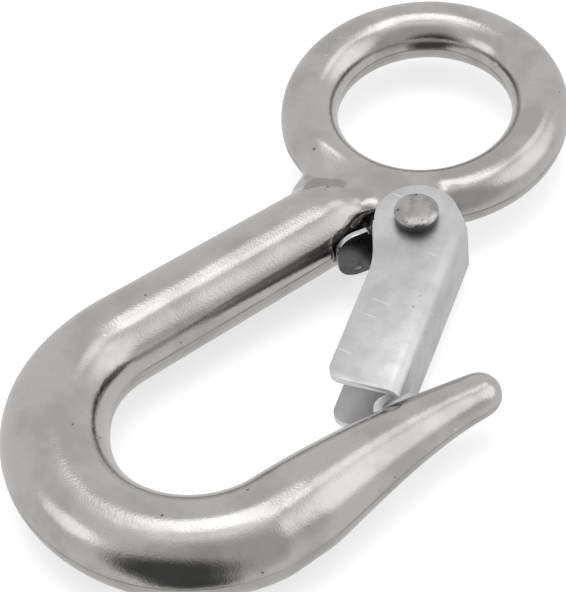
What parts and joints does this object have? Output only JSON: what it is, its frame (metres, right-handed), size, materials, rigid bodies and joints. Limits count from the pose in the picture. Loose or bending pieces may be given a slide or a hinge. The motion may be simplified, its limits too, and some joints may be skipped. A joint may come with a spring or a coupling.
{
  "type": "eye hook with latch",
  "caption": "Cast lifting hook with a round eye, an open bowl and a flared nose, closed by a sprung sheet-metal latch on a rivet.",
  "frame": {"origin": "centre of the eye, on the hook's middle plane", "axes": "+Z along the eye's and the rivet's axis, +Y along the load line from the bowl to the eye, +X towards the open throat"},
  "size_m": [0.0638, 0.1176, 0.0158],
  "materials": {
    "cast_body": "polished cast stainless steel, faint satin grain",
    "latch_sheet": "tumbled matte stainless sheet",
    "spring_strip": "bright rolled spring strip",
    "rivet_steel": "polished steel with small scuffs"
  },
  "bodies": {
    "hook": {"hook_body": "cast_body", "latch_spring": "spring_strip", "pivot_rivet": "rivet_steel"},
    "latch": {"latch": "latch_sheet"}
  },
  "joints": [
    {"name": "latch_pivot", "type": "hinge", "parent": "hook", "child": "latch", "pos_m": [0.01135, -0.02327, 0], "axis": [0, 0, 1], "range_deg": [-38, 0], "stiffness_Nm_per_rad": 0.06, "springref_deg": 45.84, "deforming": ["latch_spring"]}
  ]
}
